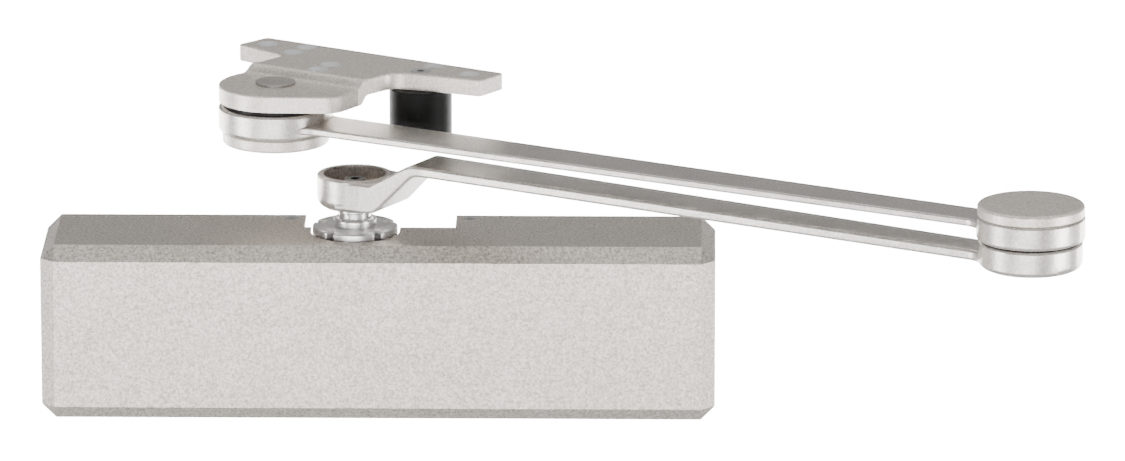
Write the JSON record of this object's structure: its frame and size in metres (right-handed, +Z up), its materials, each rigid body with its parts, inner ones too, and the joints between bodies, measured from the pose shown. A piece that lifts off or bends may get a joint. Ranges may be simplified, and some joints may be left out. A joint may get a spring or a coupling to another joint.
{
  "type": "surface door closer",
  "caption": "Surface door closer: chamfered full cover, rack-and-pinion body, two-piece parallel arm and soffit plate with stop bumper.",
  "frame": {"origin": "centre of the body's four-hole mounting pattern, on the mounting face", "axes": "+X along the body and cover, +Y out of the mounting face into the door, +Z up along the pinion towards the arm"},
  "size_m": [0.4748, 0.2819, 0.1564],
  "materials": {
    "silver_paint": "sprayed silver metallic, fine sparkle",
    "silver_arm": "satin silver metallic",
    "plated_nut": "bright plated",
    "bright_steel": "turned bright steel",
    "dark_steel": "oiled steel",
    "spring_steel": "oil-tempered wire",
    "cast_iron": "painted grey iron casting",
    "brass": "turned brass",
    "bronze": "sintered bronze",
    "black_rubber": "moulded black rubber",
    "black_nylon": "black nylon"
  },
  "bodies": {
    "closer_body": {"cover": "silver_paint", "cover_screws": "bright_steel", "body_casting": "cast_iron", "spring_end_cap": "dark_steel", "valve_end_cap": "dark_steel", "end_cap_orings": "black_rubber", "upper_pinion_bearing": "dark_steel", "lower_pinion_bearing": "dark_steel", "upper_pinion_seal": "black_rubber", "lower_pinion_seal": "black_rubber", "upper_pinion_cap": "plated_nut", "lower_pinion_cap": "plated_nut", "outer_spring": "spring_steel", "inner_spring": "spring_steel"},
    "main_arm": {"pinion_shaft": "bright_steel", "main_arm": "silver_arm", "arm_washer": "bright_steel", "arm_screw": "dark_steel", "elbow_pin": "bright_steel", "elbow_cap": "silver_arm", "elbow_washer": "black_nylon"},
    "forearm": {"forearm": "silver_arm", "elbow_bushing": "bronze", "pivot_bushing": "bronze"},
    "soffit_plate": {"soffit_plate": "silver_arm", "pivot_pin": "bright_steel", "pivot_cap": "silver_arm", "pivot_washer": "black_nylon", "bumper": "black_rubber", "bumper_screw": "dark_steel"},
    "piston": {"rack_piston": "dark_steel", "piston_seals": "black_rubber", "check_valve_seat": "brass"},
    "check_ball": {"check_valve_ball": "bright_steel"},
    "adjuster_screw": {"spring_adjuster_screw": "dark_steel", "adjuster_clip": "spring_steel"},
    "adjuster_plate": {"spring_adjuster_plate": "dark_steel"},
    "sweep_valve": {"sweep_valve": "brass", "sweep_valve_oring": "black_rubber"},
    "latch_valve": {"latch_valve": "brass", "latch_valve_oring": "black_rubber"},
    "backcheck_valve": {"backcheck_valve": "brass", "backcheck_valve_oring": "black_rubber"}
  },
  "joints": [
    {"name": "pinion_turn", "type": "hinge", "parent": "closer_body", "child": "main_arm", "pos_m": [-0.0112, -0.029, 0.06], "axis": [0, 0, 1], "range_deg": [-170, 0], "stiffness_Nm_per_rad": 5, "springref_deg": 57.3},
    {"name": "elbow_turn", "type": "hinge", "parent": "main_arm", "child": "forearm", "pos_m": [0.29503, -0.20759, 0.093], "axis": [0, 0, 1], "range_deg": [-160, 160]},
    {"name": "soffit_pivot_turn", "type": "hinge", "parent": "forearm", "child": "soffit_plate", "pos_m": [-0.0479, -0.0219, 0.093], "axis": [0, 0, 1], "range_deg": [-11, 150]},
    {"name": "piston_slide", "type": "slide", "parent": "closer_body", "child": "piston", "axis": [1, 0, 0], "range_m": [0, 0.02972], "deforming": ["outer_spring", "inner_spring"]},
    {"name": "check_ball_lift", "type": "slide", "parent": "piston", "child": "check_ball", "axis": [1, 0, 0], "range_m": [0, 0.0015]},
    {"name": "adjuster_plate_slide", "type": "slide", "parent": "closer_body", "child": "adjuster_plate", "axis": [1, 0, 0], "range_m": [-0.008, 0]},
    {"name": "adjuster_screw_turn", "type": "hinge", "parent": "closer_body", "child": "adjuster_screw", "pos_m": [0.112, -0.029, 0], "axis": [1, 0, 0], "range_deg": [0, 2881]},
    {"name": "sweep_valve_turn", "type": "hinge", "parent": "closer_body", "child": "sweep_valve", "pos_m": [-0.102, -0.049, 0.022], "axis": [1, 0, 0], "range_deg": [-360, 360]},
    {"name": "latch_valve_turn", "type": "hinge", "parent": "closer_body", "child": "latch_valve", "pos_m": [-0.102, -0.049, -0.022], "axis": [1, 0, 0], "range_deg": [-360, 360]},
    {"name": "backcheck_valve_turn", "type": "hinge", "parent": "closer_body", "child": "backcheck_valve", "pos_m": [-0.102, -0.017, 0.0255], "axis": [1, 0, 0], "range_deg": [-360, 360]}
  ],
  "couplings": [
    {"joint": "piston_slide", "follows": "pinion_turn", "m_per_rad": -0.01},
    {"joint": "adjuster_screw_turn", "follows": "adjuster_plate_slide", "rad_per_m": -6283.2}
  ]
}
